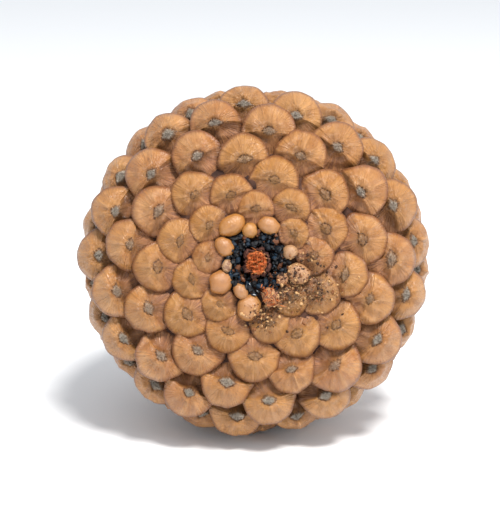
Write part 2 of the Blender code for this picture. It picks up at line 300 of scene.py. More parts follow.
@dataclass
class ScaleForm:
    """Shape of a seed scale, in shares of its size."""

    half_width: float = 0.68
    narrowing: float = 0.06
    tip_length: float = 0.63
    heel_length: float = 0.66
    tip_power: float = 1.90
    heel_power: float = 1.8
    gather: float = 0.32
    keel_drop: float = 0.29
    keel_bend: float = 0.11
    tip_drop: float = 0.40
    dome_rise: float = 0.075
    brow_place: float = 0.21
    brow_width: float = 0.12
    crease_drop: float = 0.135
    crease_width: float = 0.055
    heel_drop: float = 0.15
    ridge_turn: float = 42.0
    face_end: float = 0.62
    shoulder_end: float = 0.76
    neck_end: float = 0.90
    shoulder_depth: float = 0.20
    shoulder_bulge: float = 0.030
    neck_back: float = 0.85
    neck_half_width: float = 0.30
    neck_half_thickness: float = 0.10
    short_plate: float = 1.2
    short_within: float = 0.030
    girth_height: float = 0.026
    least_plate_angle: float = math.radians(62.0)
    most_plate_angle: float = math.radians(140.0)
    root_depth: float = 0.0020
    umbo_half_width: float = 0.160
    umbo_half_length: float = 0.105
    umbo_power: float = 1.4
    umbo_rise: float = 0.022
    umbo_roughness: float = 0.012
    groove_drop: float = 0.036
    point_rise: float = 0.016
    rim_waver: float = 0.025
    crest_rise: float = 0.048
    fold_rise: float = 0.045
    lump_rise: float = 0.026
    fine_rise: float = 0.0060
    shoulder_pull: float = 0.09
    shoulder_slant: float = 0.35
    first_grey: float = 24.0
    last_tan: float = 60.0
    seed: int = 7

    def rim(self, around: Array) -> Array:
        """Outline of the face round its umbo."""
        c, s = np.abs(np.cos(around)), np.abs(np.sin(around))
        rims = [
            ((c / self.half_width) ** power + (s / length) ** power) ** (-1 / power)
            for power, length in ((self.tip_power, self.tip_length), (self.heel_power, self.heel_length))
        ]
        return np.where(np.sin(around) >= 0, *rims)

    def root(self, scale: Scale) -> Array:
        """Where the scale grows from the axis, in its own frame."""
        plate = max(scale.facing + scale.lean, self.least_plate_angle)
        plate = min(plate, self.most_plate_angle)
        reach = scale.radius - self.root_depth
        rise = reach / math.tan(plate)
        y = rise * math.sin(scale.facing) - reach * math.cos(scale.facing)
        z = -reach * math.sin(scale.facing) - rise * math.cos(scale.facing)
        least = self.short_plate * scale.size
        near_stalk = scale.radius < self.short_within and scale.height < self.girth_height
        if near_stalk or math.hypot(y, z) < least:
            return np.array([0.0, -math.sin(scale.lean) * least, -math.cos(scale.lean) * least])
        return np.array([0.0, y, z])

    def points(self, scale: Scale, around: Array, station: Array) -> Points:
        """Shapes one scale.

        Args:
            scale: the scale's place and size.
            around: angle of each point round the umbo, from the scale's right side.
            station: share of the way from the umbo over face, rim and plate to the root.

        Returns:
            The points in metres in the scale's own frame, and their marks.
        """
        rng = np.random.default_rng([self.seed, scale.index])
        around = around - self.gather * np.sin(2 * around)
        c, s = np.cos(around), np.sin(around)
        share = straight_step(0, self.face_end, station)
        shoulder = straight_step(self.face_end, self.shoulder_end, station)
        neck = straight_step(self.shoulder_end, self.neck_end, station)
        root = straight_step(self.neck_end, 1, station)

        waver = Lumps(rng, 5, 0.5, 1.6)
        rim = self.rim(around) * (1 + self.rim_waver * waver.at(c, s))
        age = np.array(scale.index + rng.uniform(-12, 12))
        grown = float(smooth_step(self.first_grey, self.last_tan, age))
        narrow = 1 - self.narrowing * grown
        x, y = rim * share * c * narrow, rim * share * s
        outward, inward = np.clip(y, 0, None), np.clip(-y, 0, None)
        across = np.abs(x) / (self.half_width * narrow)
        sway, dome = rng.uniform(-0.25, 0.25), rng.uniform(0.5, 1.4)
        crease = rng.uniform(0.6, 1.3) * (0.45 + 0.75 * grown)

        depth = self.keel_drop * across**1.5
        depth += self.tip_drop * (outward / self.tip_length) ** 2.3
        depth -= dome * self.dome_rise * ridge(outward, self.brow_place, self.brow_width) * (1 - across**2)
        covered = self.umbo_half_length * ridge(x, 0.0, self.umbo_half_width)
        below = np.clip(inward - covered, 0, None)
        creased = (1 - np.exp(-below / self.crease_width)) * (1 - 0.7 * across**2)
        depth += crease * self.crease_drop * creased
        depth += self.heel_drop * inward / self.heel_length

        swayed = x + sway * y
        turn = np.degrees(np.arctan2(np.abs(swayed), y))
        middle = ridge(swayed, 0.0, 0.035) * smooth_step(0.10, 0.22, outward)
        sides = ridge(turn, self.ridge_turn + rng.uniform(-5, 5), 5.0) * smooth_step(0.25, 0.5, share)
        fold = ridge(swayed, 0.0, 0.06) * smooth_step(0.14, 0.26, inward)
        fade = 1 - smooth_step(0.80, 1.0, share)
        crest = (rng.uniform(0.4, 1.2) * middle + rng.uniform(0.3, 1.0) * sides) * fade
        lumps = Lumps(rng, 8, 0.22, 0.9)
        fine = Lumps(rng, 10, 0.07, 0.2)
        uneven = self.crest_rise * crest + self.fold_rise * rng.uniform(0.2, 1.2) * fold
        uneven += self.lump_rise * lumps.at(x, y) * smooth_step(0.1, 0.4, share)
        uneven += self.fine_rise * fine.at(x, y) * smooth_step(0.2, 0.5, share)

        wide = self.umbo_half_width * rng.uniform(0.8, 1.2)
        long = self.umbo_half_length * rng.uniform(0.8, 1.2)
        tilted = y + 0.3 * sway * x
        rhomb = (np.abs(x) / wide) ** self.umbo_power + (np.abs(tilted) / long) ** self.umbo_power
        rhomb = rhomb * (1 + 0.10 * fine.at(2 * x, 2 * y) + 0.08 * waver.at(c, s))
        umbo = 1 - smooth_step(0.75, 1.08, rhomb)
        groove = ridge(rhomb, 1.14, 0.17)
        point = ridge(np.hypot(x / 0.09, y / 0.020), 0.0, 1.0)
        raised = self.umbo_rise * umbo - self.groove_drop * groove + self.point_rise * point
        raised += self.umbo_roughness * umbo * fine.at(3 * x, 3 * y)
        z = -depth + uneven + raised
        level = 1 - smooth_step(0.15, 0.5, outward) - 0.5 * smooth_step(0.1, 0.5, inward)
        y = y - self.keel_bend * across**1.6 * level

        outline = 1 - self.shoulder_pull * shoulder**1.5
        outline += self.shoulder_bulge * np.sin(math.pi * shoulder) / np.maximum(rim, 0.3)
        slant = self.shoulder_slant * scale.lean
        down = self.shoulder_depth * shoulder
        back, under = down * math.sin(slant), down * math.cos(slant)
        wall = np.stack([x * outline, y * outline - back, z - under], axis=1)

        spine = np.array([0.0, math.sin(scale.lean), math.cos(scale.lean)])
        thick = np.array([0.0, math.cos(scale.lean), -math.sin(scale.lean)])
        wide_share = np.sign(c) * np.abs(c) ** 0.6
        thick_share = np.sign(s) * np.abs(s) ** 0.6
        plate = wide_share[:, None] * [self.neck_half_width, 0.0, 0.0]
        plate = plate + thick_share[:, None] * self.neck_half_thickness * thick
        ease = np.sin(neck * math.pi / 2)[:, None]
        place = wall * (1 - ease) + (plate - spine * self.neck_back) * ease
        foot = self.root(scale) / scale.size + plate * 0.55 * (1 - root[:, None] ** 4)
        place = place * (1 - root[:, None]) + foot * root[:, None]

        # Sides and plate: the finish paints them purple, their own colour, and deeper in near-black as
        # painted shade between the scales.
        side = smooth_step(0.05, 0.6, shoulder)
        heel = smooth_step(0.0, 0.32, below)
        # Hollow under the brow: the finish browns it, partly the wood's own brown and partly painted shade
        # under the brow.
        hollow = smooth_step(0.0, 0.06, below) * (1 - smooth_step(0.08, 0.30, below)) * crease
        grey = umbo * (0.12 + 0.88 * grown)
        count = len(around)
        # Rim band of the face: the finish darkens it as painted shade where the scales meet.
        edge = smooth_step(0.86, 1.0, share)
        marks = np.stack([grey, groove * (shoulder <= 0), hollow, side], axis=1)
        # The crest channel also lightens the ridges in the finish: a painted highlight along them.
        tones = np.stack([heel, edge, crest, np.full(count, rng.uniform())], axis=1)
        flat = np.stack([x, y, np.full(count, 3.7 * scale.index)], axis=1)
        polar = np.stack([np.abs(around) * 2, share + shoulder, np.full(count, 2.3 * scale.index)], axis=1)
        return Points(place * scale.size, marks, tones, flat, polar)


@dataclass(frozen=True)
class KnobLook:
    """How one of the small knobs round the stalk differs from a plain ball."""

    wide: float = 1.0
    long: float = 1.0
    high: float = 1.0
    turn: float = 0.0
    yellow: float = 0.3
    pale: float = 0.0
    dusty: float = 0.0
    chipped: float = 0.0


KNOB_LOOKS = {
    1: KnobLook(0.95, 0.75, 0.8, 0.2, 0.3, 1.0, 0.2, 0.8),
    2: KnobLook(0.8, 0.8, 0.4, 0.0, 0.2, 0.3, 1.0, 0.7),
    3: KnobLook(1.0, 1.0, 1.15, 0.0, 0.9, 0.1, 0.0, 0.0),
    4: KnobLook(1.15, 0.85, 1.0, 0.5, 0.4, 0.2, 0.2, 0.0),
    5: KnobLook(0.85, 0.9, 0.95, 0.0, 0.2, 0.7, 0.5, 0.1),
    6: KnobLook(0.95, 1.2, 1.05, 0.4, 0.5, 0.0, 0.1, 0.0),
    7: KnobLook(0.9, 1.1, 0.5, 0.0, 0.1, 0.2, 1.0, 0.9),
    8: KnobLook(1.2, 0.9, 1.0, 0.0, 0.5, 0.1, 0.1, 0.0),
    9: KnobLook(1.15, 1.2, 1.05, 0.1, 0.4, 0.0, 0.1, 0.0),
    10: KnobLook(1.0, 1.2, 0.95, 0.0, 0.2, 0.45, 0.5, 0.0),
    11: KnobLook(1.3, 0.95, 1.0, 0.0, 0.7, 0.0, 0.0, 0.1),
    12: KnobLook(1.0, 1.1, 1.0, 0.3, 0.5, 0.1, 0.2, 0.0),
}


@dataclass
class KnobForm(ScaleForm):
    """Shape of a knob: a small ball on a short plate."""

    knob_radius: float = 0.50
    knob_height: float = 0.42
    knob_lift: float = 0.12
    cap_end: float = math.radians(128)
    chip_depth: float = 0.16
    seed: int = 11

    def points(self, scale: Scale, around: Array, station: Array) -> Points:
        """Shapes one knob.

        Args:
            scale: the knob's place and size.
            around: angle of each point round the knob's middle.
            station: share of the way from the knob's top to its root.

        Returns:
            The points in metres in the knob's own frame, and their marks.
        """
        look = KNOB_LOOKS[scale.index]
        rng = np.random.default_rng([self.seed, scale.index])
        over = straight_step(0, self.shoulder_end, station) * self.cap_end
        x = self.knob_radius * look.wide * np.sin(over) * np.cos(around)
        y = self.knob_radius * look.long * np.sin(over) * np.sin(around)
        z = look.high * (self.knob_height * (np.cos(over) - 1) + self.knob_lift)
        lumps = Lumps(rng, 8, 0.35, 1.3)
        fine = Lumps(rng, 10, 0.06, 0.2)
        swell = 1 + 0.05 * lumps.at(x, y) + 0.010 * fine.at(x, y)
        chip = look.chipped * smooth_step(-0.1, 0.35, lumps.at(2 * x, 2 * y)) * (over < 1.3)
        swell -= self.chip_depth * chip
        turned = Matrix.Rotation(look.turn, 2)
        flat_place = np.stack([x * swell, y * swell], axis=1) @ np.array(turned)
        ball = np.stack([flat_place[:, 0], flat_place[:, 1], z * swell], axis=1)
        back = straight_step(self.shoulder_end, 1, station)[:, None]
        ball = ball * (1 - back) + self.root(scale) / scale.size * back
        count = len(around)
        top = ridge(over, 0.0, 0.22) * (1 - look.chipped)
        marks = np.stack([0.35 * top, chip, np.zeros(count), smooth_step(1.35, 1.9, over)], axis=1)
        levels = (look.yellow, look.pale, look.dusty, float(rng.uniform()))
        tones = np.stack([np.full(count, level) for level in levels], axis=1)
        flat = np.stack([x, y, np.full(count, 5.1 * scale.index)], axis=1)
        polar = np.stack([np.abs(around) * 2, over, np.full(count, 2.9 * scale.index)], axis=1)
        return Points(ball * scale.size, marks, tones, flat, polar)


# Mesh making.


@dataclass
class Ball:
    """A ball of rings that is drawn out into a scale or a knob."""

    sides: int
    rings: int
    mesh: bpy.types.Mesh = field(init=False)
    around: Array = field(init=False)
    station: Array = field(init=False)

    def __post_init__(self) -> None:
        """Makes the ball, and reads where its points are."""
        self.mesh = bpy.data.meshes.new("ball")
        ball = bmesh.new()
        bmesh.ops.create_uvsphere(ball, u_segments=self.sides, v_segments=self.rings, radius=1)
        for face in ball.faces:
            face.smooth = True
        ball.to_mesh(self.mesh)
        ball.free()
        places = np.array([vertex.co for vertex in self.mesh.vertices])
        self.around = np.arctan2(places[:, 1], places[:, 0])
        self.station = np.arccos(np.clip(places[:, 2], -1, 1)) / math.pi

    def copies(self, name: str, count: int) -> bpy.types.Mesh:
        """One mesh that holds the ball a number of times."""
        joined = bmesh.new()
        for _ in range(count):
            joined.from_mesh(self.mesh)
        data = bpy.data.meshes.new(name)
        joined.to_mesh(data)
        joined.free()
        return data


def add_marks(data: bpy.types.Mesh, name: str, kind: str, values: Array) -> None:
    """Stores one attribute of a mesh's points.

    Args:
        data: the mesh.
        name: the attribute's name.
        kind: FLOAT_COLOR or FLOAT_VECTOR.
        values: one row for each point.
    """
    layer = data.attributes.new(name, kind, "POINT")
    key = "color" if kind == "FLOAT_COLOR" else "vector"
    layer.data.foreach_set(key, np.ascontiguousarray(values, dtype=np.float32).ravel())


def show(data: bpy.types.Mesh, material: bpy.types.Material, slot: Slot, *nodes: Node) -> bpy.types.Object:
    """Puts a mesh in the scene as a piece that rides on the cone's body.

    Args:
        data: the mesh, in the frame.
        material: its finish.
        slot: the record's material slot that it takes its finish from; not used.
        nodes: the CAD nodes that it stands for.

    Returns:
        The new object.
    """
    piece = bpy.data.objects.new(data.name, data)
    bpy.context.scene.collection.objects.link(piece)
    data.materials.clear()
    data.materials.append(material)
    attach(piece, BODY)
    if nodes:
        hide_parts(*[node.value for node in nodes])
    LOG.info("%s: %d points, %d faces", piece.name, len(data.vertices), len(data.polygons))
    return piece


@dataclass
class Foliage:
    """All the scales and knobs of the cone."""

    placed: Matrix
    floor: float = 0.00005
    soiled: tuple[tuple[float, float, float], ...] = (
        (0.0075, -0.0025, 0.0050),
        (0.0085, -0.0075, 0.0045),
        (0.0020, -0.0135, 0.0040),
        (0.0170, -0.0070, 0.0040),
    )
    soil_from: float = 0.010
    soil_to: float = 0.016

    def build(
        self, name: str, scales: list[Scale], form: ScaleForm, ball: Ball, material: bpy.types.Material
    ) -> bpy.types.Object:
        """Builds a group of scales as one piece.

        Args:
            name: the piece's name.
            scales: the scales in it.
            form: their shape.
            ball: the ball that each is drawn out of.
            material: their finish.

        Returns:
            The piece.
        """
        data = ball.copies(name, len(scales))
        shaped = [form.points(scale, ball.around, ball.station) for scale in scales]
        places = []
        for scale, points in zip(scales, shaped):
            frame = np.array(self.placed @ scale.frame())
            places.append(points.place @ frame[:3, :3].T + frame[:3, 3])
        place = np.concatenate(places)
        place[:, 2] = np.maximum(place[:, 2], self.floor)
        data.vertices.foreach_set("co", place.astype(np.float32).ravel())
        for mark in ("marks", "tones", "flat", "polar"):
            kind = "FLOAT_COLOR" if mark in ("marks", "tones") else "FLOAT_VECTOR"
            add_marks(data, mark, kind, np.concatenate([getattr(points, mark) for points in shaped]))
        soil = data.attributes.new("soil", "FLOAT", "POINT")
        soil.data.foreach_set("value", self.soil_at(place).astype(np.float32))
        data.update()
        return show(data, material, Slot.SCALE, Node.CONE)

    def soil_at(self, place: Array) -> Array:
        """How soiled the scales are at each place: in four patches below and right of the stalk."""
        stalk = np.array(self.placed.translation)
        total = np.zeros(len(place))
        for right, up, reach in self.soiled:
            away = np.hypot(place[:, 0] - stalk[0] - right, place[:, 2] - stalk[2] - up)
            total += np.exp(-((away / reach) ** 2))
        near = 1 - smooth_step(self.soil_from, self.soil_to, place[:, 1] - stalk[1])
        return np.clip(total * near, 0, 1)


@dataclass
class WoodyAxis:
    """The core that the scales grow from."""

    placed: Matrix
    profile: tuple[tuple[float, float], ...] = (
        (0.0, 0.094),
        (0.004, 0.092),
        (0.010, 0.0826),
        (0.018, 0.052),
        (0.024, 0.026),
        (0.033, 0.0110),
        (0.030, 0.0070),
        (0.022, 0.0038),
        (0.012, 0.0030),
        (0.0050, 0.0034),
        (0.0050, 0.0105),
        (0.0, 0.0105),
    )
    sides: int = 96

    def build(self, material: bpy.types.Material) -> bpy.types.Object:
        """Turns the core's profile, and roughens it."""
        core = bmesh.new()
        rims = [core.verts.new((radius, 0.0, height)) for radius, height in self.profile]
        edges = [core.edges.new(pair) for pair in zip(rims, rims[1:])]
        bmesh.ops.subdivide_edges(core, edges=edges, cuts=3)
        bmesh.ops.spin(
            core,
            geom=core.verts[:] + core.edges[:],
            axis=(0, 0, 1),
            cent=(0, 0, 0),
            steps=self.sides,
            angle=2 * math.pi,
            use_merge=True,
        )
        bmesh.ops.remove_doubles(core, verts=core.verts, dist=0.00001)
        bmesh.ops.recalc_face_normals(core, faces=core.faces)
        rng = np.random.default_rng(3)
        lumps = Lumps(rng, 10, 0.002, 0.008)
        for vertex in core.verts:
            around = math.atan2(vertex.co.y, vertex.co.x)
            rise = lumps.at(np.array([around * 0.02]), np.array([vertex.co.z + vertex.co.xy.length]))[0]
            vertex.co.z += 0.0004 * rise
        for face in core.faces:
            face.smooth = True
        core.transform(self.placed)
        data = bpy.data.meshes.new("woody_axis")
        core.to_mesh(data)
        core.free()
        return show(data, material, Slot.SCALE, Node.CONE)


@dataclass
class StalkStub:
    """The broken stalk in its socket: a core of torn fibres in a ring of dark bark."""

    placed: Matrix
    half_width: float = 0.0041
    half_height: float = 0.0047
    foot: float = 0.0102
    top_end: float = 0.72
    wall_end: float = 0.92
    core_share: float = 0.68
    seed: int = 21

    def build(self, ball: Ball, material: bpy.types.Material) -> bpy.types.Object:
        """Draws the stub out of a ball.

        Args:
            ball: the ball that it is drawn out of.
            material: its finish.

        Returns:
            The piece.
        """
        rng = np.random.default_rng(self.seed)
        c, s = np.cos(ball.around), np.sin(ball.around)
        share = straight_step(0, self.top_end, ball.station)
        wall = straight_step(self.top_end, self.wall_end, ball.station)
        closed = straight_step(self.wall_end, 1, ball.station)
        reach = 1 / np.hypot(c / self.half_width, s / self.half_height)
        coarse = Lumps(rng, 8, 0.5, 1.5)
        rough = Lumps(rng, 14, 0.10, 0.45)
        x, y = share * c, share * s
        bark = ridge(share, 0.82, 0.11) * (0.65 + 0.5 * coarse.at(x, y))
        torn_edge = share + 0.05 * coarse.at(x, y)
        core = 1 - smooth_step(self.core_share - 0.06, self.core_share + 0.04, torn_edge)
        z = 0.0008 * share**6 - 0.0005 * (1 - share**6) - 0.0008 * bark
        z += 0.0007 * ridge(share, self.core_share + 0.05, 0.07)
        z += 0.0007 * rough.at(x, y) * (1 - 0.4 * share**4) + 0.0004 * coarse.at(y, x)
        z = z * (1 - wall) + self.foot * wall
        ragged = 1 - 0.10 * (1 + coarse.at(1.5 * c, 1.5 * s) + 0.5 * rough.at(c, s)) * share**2 * (1 - wall)
        flat = reach * share * (1 - closed) * np.clip(ragged, 0.7, 1.0)
        place = np.stack([flat * c, flat * s, z], axis=1)
        matrix = np.array(self.placed)
        data = ball.copies("stalk_stub_wood", 1)
        place = place @ matrix[:3, :3].T + matrix[:3, 3]
        data.vertices.foreach_set("co", place.astype(np.float32).ravel())
        tones = np.stack([core, bark, rough.at(x, y) * 0.5 + 0.5, np.ones(len(x))], axis=1)
        add_marks(data, "tones", "FLOAT_COLOR", tones)
        data.update()
        return show(data, material, Slot.STALK, Node.STUB)


@dataclass
class Bits:
    """Many small bits of one kind, each drawn out of one small shape."""

    name: str
    seed: int
    places: list[Matrix] = field(default_factory=list)
    tones: list[Colour] = field(default_factory=list)
    jitter: float = 0.18
    smooth: bool = True

    def template(self, pointed: bool) -> bpy.types.Mesh:
        """The shape of one bit: a small ball, or a pointed sliver that stands on its foot."""
        shape = bmesh.new()
        if pointed:
            bmesh.ops.create_cone(shape, cap_ends=True, segments=5, radius1=1, radius2=0.12, depth=1)
            bmesh.ops.translate(shape, verts=shape.verts, vec=(0, 0, 0.35))
        else:
            bmesh.ops.create_icosphere(shape, subdivisions=2 if self.smooth else 1, radius=1)
        for face in shape.faces:
            face.smooth = self.smooth
        data = bpy.data.meshes.new(f"{self.name}_bit")
        shape.to_mesh(data)
        shape.free()
        return data

    def build(self, material: bpy.types.Material, slot: Slot, pointed: bool = False) -> bpy.types.Object:
        """Joins all the bits in one piece.

        Args:
            material: their finish.
            slot: the record's material slot that they take it from.
            pointed: slivers instead of grains.

        Returns:
            The piece.
        """
        rng = np.random.default_rng(self.seed)
        bit = self.template(pointed)
        points = np.array([vertex.co for vertex in bit.vertices])
        joined = bmesh.new()
        placed = []
        for matrix in self.places:
            joined.from_mesh(bit)
            rough = points * (1 + self.jitter * rng.uniform(-1, 1, (len(points), 1)))
            turn = np.array(matrix)
            placed.append(rough @ turn[:3, :3].T + turn[:3, 3])
        data = bpy.data.meshes.new(self.name)
        joined.to_mesh(data)
        joined.free()
        data.vertices.foreach_set("co", np.concatenate(placed).astype(np.float32).ravel())
        tones = np.repeat(np.array(self.tones), len(points), axis=0)
        add_marks(data, "tones", "FLOAT_COLOR", np.concatenate([tones, np.ones((len(tones), 1))], axis=1))
        data.update()
        return show(data, material, slot)


def any_turn(rng: np.random.Generator) -> Matrix:
    """A turn to any side."""
    turned = Matrix.Identity(4)
    for axis in "XYZ":
        turned = Matrix.Rotation(rng.uniform(0, 2 * math.pi), 4, axis) @ turned
    return turned


@dataclass
class Resin:
    """Dried resin round the stalk: a shiny blue-black crust of shards between the knobs, partly dried resin
    and partly painted shade in the hollow round the stalk.
    """

    placed: Matrix
    count: int = 520
    inner: float = 0.0044
    outer: float = 0.0088
    seed: int = 4

    def build(self, material: bpy.types.Material) -> bpy.types.Object:
        """Strews the beads over the hollow round the stalk."""
        rng = np.random.default_rng(self.seed)
        bits = Bits("resin_and_shade_beads", self.seed, jitter=0.35, smooth=False)
        for _ in range(self.count):
            angle = rng.uniform(0, 2 * math.pi)
            radius = self.inner + (self.outer - self.inner) * rng.uniform() ** 0.8
            size = 0.00025 + 0.00060 * rng.uniform() ** 1.6
            height = 0.0022 - 0.0016 * rng.uniform() ** 1.5
            place = Vector((radius * math.cos(angle), radius * math.sin(angle), height))
            wide, high = rng.uniform(0.7, 1.5), rng.uniform(0.6, 1.1)
            stretched = Matrix.Diagonal((size, size * wide, size * high, 1))
            bits.places.append(self.placed @ Matrix.Translation(place) @ any_turn(rng) @ stretched)
            bits.tones.append((rng.uniform(), rng.uniform(), rng.uniform()))
        return bits.build(material, Slot.SCALE)


@dataclass
class Splinters:
    """Torn fibres that stand out of the broken stalk and of the torn knob beside it."""

    placed: Matrix
    torn_knob: Scale
    torn_half_width: float = 0.0028
    torn_half_height: float = 0.0034
    stalk_count: int = 170
    knob_count: int = 110
    seed: int = 9

    def build(self, material: bpy.types.Material) -> bpy.types.Object:
        """Sets the fibres on the stub and on the torn knob."""
        rng = np.random.default_rng(self.seed)
        bits = Bits("torn_fibres", self.seed)
        facing = Matrix.Rotation(math.pi, 4, "X")
        for _ in range(self.stalk_count):
            angle = rng.uniform(0, 2 * math.pi)
            share = rng.uniform() ** 0.6
            right, up = self.torn_half_width * share, self.torn_half_height * share
            place = Vector((right * math.cos(angle), up * math.sin(angle), 0.0))
            self.add(bits, rng, self.placed @ Matrix.Translation(place) @ facing, 0.0013, share)
        knob = self.placed @ self.torn_knob.frame()
        for _ in range(self.knob_count):
            place = Vector((rng.normal(0, 0.0007), rng.normal(0.0002, 0.0014), -0.0002))
            self.add(bits, rng, knob @ Matrix.Translation(place), 0.0018, 0.9)
        return bits.build(material, Slot.STALK, pointed=True)

    def add(self, bits: Bits, rng: np.random.Generator, foot: Matrix, length: float, spread: float) -> None:
        """Adds one fibre.

        Args:
            bits: the fibres so far.
            rng: the random source.
            foot: where it stands, with z along it.
            length: its usual length.
            spread: how far it leans, from 0 to 1.
        """
        tilt = Matrix.Rotation(rng.normal(0, 0.55 * spread + 0.15), 4, "X")
        tilt = tilt @ Matrix.Rotation(rng.normal(0, 0.55 * spread + 0.15), 4, "Y")
        wide = rng.uniform(0.00007, 0.00022)
        size = Matrix.Diagonal((wide, wide * rng.uniform(0.5, 1.0), length * rng.uniform(0.5, 1.4), 1))
        bits.places.append(foot @ tilt @ size)
        bits.tones.append((rng.uniform(), rng.uniform(), rng.uniform()))


@dataclass(frozen=True)
class Drift:
    """A patch of crumbs: where it lies in the photograph, how wide, and how many grains."""

    x: float
    y: float
    spread: float
    count: int


@dataclass
class Crumbs:
    """Crumbled bark and resin that lies on the scales below and right of the stalk."""

    view: "View"
    drifts: tuple[Drift, ...] = (
        Drift(283, 268, 6, 170),
        Drift(290, 288, 8, 260),
        Drift(303, 268, 10, 110),
        Drift(316, 292, 9, 120),
        Drift(262, 318, 8, 190),
        Drift(335, 282, 13, 40),
        Drift(300, 310, 14, 40),
    )
    smallest: float = 0.00009
    largest: float = 0.00048
    seed: int = 6

    def build(self, ground: list[bpy.types.Object], material: bpy.types.Material) -> bpy.types.Object:
        """Lets the crumbs lie where the photograph's line of sight meets the scales.

        Args:
            ground: the pieces that they may lie on.
            material: their finish.

        Returns:
            The piece.
        """
        rng = np.random.default_rng(self.seed)
        graph = bpy.context.evaluated_depsgraph_get()
        surfaces = [BVHTree.FromObject(piece, graph) for piece in ground]
        bits = Bits("crumbs", self.seed, jitter=0.3)
        for drift in self.drifts:
            for _ in range(drift.count):
                x, y = rng.normal((drift.x, drift.y), drift.spread)
                hits = [tree.ray_cast(self.view.eye(), self.view.ray(x, y)) for tree in surfaces]
                hits = [hit for hit in hits if hit[0] is not None]
                size = self.smallest + (self.largest - self.smallest) * rng.uniform() ** 2.5
                tone = (rng.uniform(), rng.uniform(), rng.uniform())
                turned = any_turn(rng)
                if not hits:
                    continue
                near = min(hits, key=lambda hit: hit[3])
                place = near[0] + near[1] * size * 0.3
                wide, high = rng.uniform(0.5, 1.4), rng.uniform(0.4, 0.9)
                shape = Matrix.Diagonal((size, size * wide, size * high, 1))
                bits.places.append(Matrix.Translation(place) @ turned @ shape)
                bits.tones.append(tone)
        return bits.build(material, Slot.SCALE)


# Finishes.


class Shader:
    """A material's node tree, with short calls for the nodes that the finishes use."""

    def __init__(self, name: str) -> None:
        """Starts a Principled material."""
        self.material = bpy.data.materials.new(name)
        self.material.use_nodes = True
        self.tree = self.material.node_tree
        self.surface = self.tree.nodes["Principled BSDF"]

    def node(self, kind: str, **settings: object) -> bpy.types.Node:
        """A new node with its settings."""
        made = self.tree.nodes.new(kind)
        for key, value in settings.items():
            setattr(made, key, value)
        return made

    def link(self, source: bpy.types.NodeSocket, target: bpy.types.NodeSocket) -> None:
        """Joins two sockets."""
        self.tree.links.new(source, target)

    def put(self, value: object, target: bpy.types.NodeSocket) -> None:
        """Gives a socket a link or a plain value."""
        if isinstance(value, bpy.types.NodeSocket):
            self.link(value, target)
        elif isinstance(value, tuple) and len(value) == 3 and target.type == "RGBA":
            target.default_value = (*value, 1.0)
        else:
            target.default_value = value

    def attribute(self, name: str) -> bpy.types.Node:
        """An attribute of the piece's points."""
        return self.node("ShaderNodeAttribute", attribute_name=name)

    def split(self, name: str) -> tuple[bpy.types.NodeSocket, ...]:
        """The four channels of a colour attribute."""
        source = self.attribute(name)
        parts = self.node("ShaderNodeSeparateColor")
        self.link(source.outputs["Color"], parts.inputs[0])
        return parts.outputs[0], parts.outputs[1], parts.outputs[2], source.outputs["Alpha"]

    def math(self, operation: str, first: object, second: object) -> bpy.types.NodeSocket:
        """One sum on two numbers."""
        made = self.node("ShaderNodeMath", operation=operation)
        self.put(first, made.inputs[0])
        self.put(second, made.inputs[1])
        return made.outputs[0]

    def line(self, value: object, slope: float, start: object) -> bpy.types.NodeSocket:
        """A number times a slope, plus a start."""
        return self.math("ADD", self.math("MULTIPLY", value, slope), start)

    def mix(self, factor: object, first: object, second: object) -> bpy.types.NodeSocket:
        """Two colours mixed by a factor."""
        made = self.node("ShaderNodeMix", data_type="RGBA", blend_type="MIX", clamp_factor=True)
        self.put(factor, made.inputs[0])
        self.put(first, made.inputs[6])
        self.put(second, made.inputs[7])
        return made.outputs[2]

    def tint(self, colour: object, tone: Colour, mask: object, share: object) -> bpy.types.NodeSocket:
        """A colour that goes over to a tone where a mask is, by a share."""
        return self.mix(self.math("MULTIPLY", mask, share), colour, tone)

    def ramp(self, value: object, low: float, high: float) -> bpy.types.NodeSocket:
        """A number stretched from low and high to 0 and 1, with smooth ends."""
        made = self.node("ShaderNodeMapRange", interpolation_type="SMOOTHSTEP")
        self.put(value, made.inputs["Value"])
        made.inputs["From Min"].default_value = low
        made.inputs["From Max"].default_value = high
        return made.outputs["Result"]

    def group(self, tree: bpy.types.NodeTree, **values: object) -> bpy.types.Node:
        """One of the shared effects, with its own values."""
        made = self.node("ShaderNodeGroup", node_tree=tree)
        for key, value in values.items():
            self.put(value, made.inputs[key.replace("_", " ").capitalize()])
        return made

    def bump(self, height: object, distance: float) -> None:
        """Bump from a height, on the surface's normal."""
        made = self.node("ShaderNodeBump")
        made.inputs["Strength"].default_value = 1.0
        made.inputs["Distance"].default_value = distance
        self.put(height, made.inputs["Height"])
        self.link(made.outputs["Normal"], self.surface.inputs["Normal"])

    def finish(self, colour: object, roughness: object, specular: float = 0.35) -> bpy.types.Material:
        """Sets the surface's main sockets, and gives the material."""
        self.put(colour, self.surface.inputs["Base Color"])
        self.put(roughness, self.surface.inputs["Roughness"])
        self.surface.inputs["Specular IOR Level"].default_value = specular
        return self.material


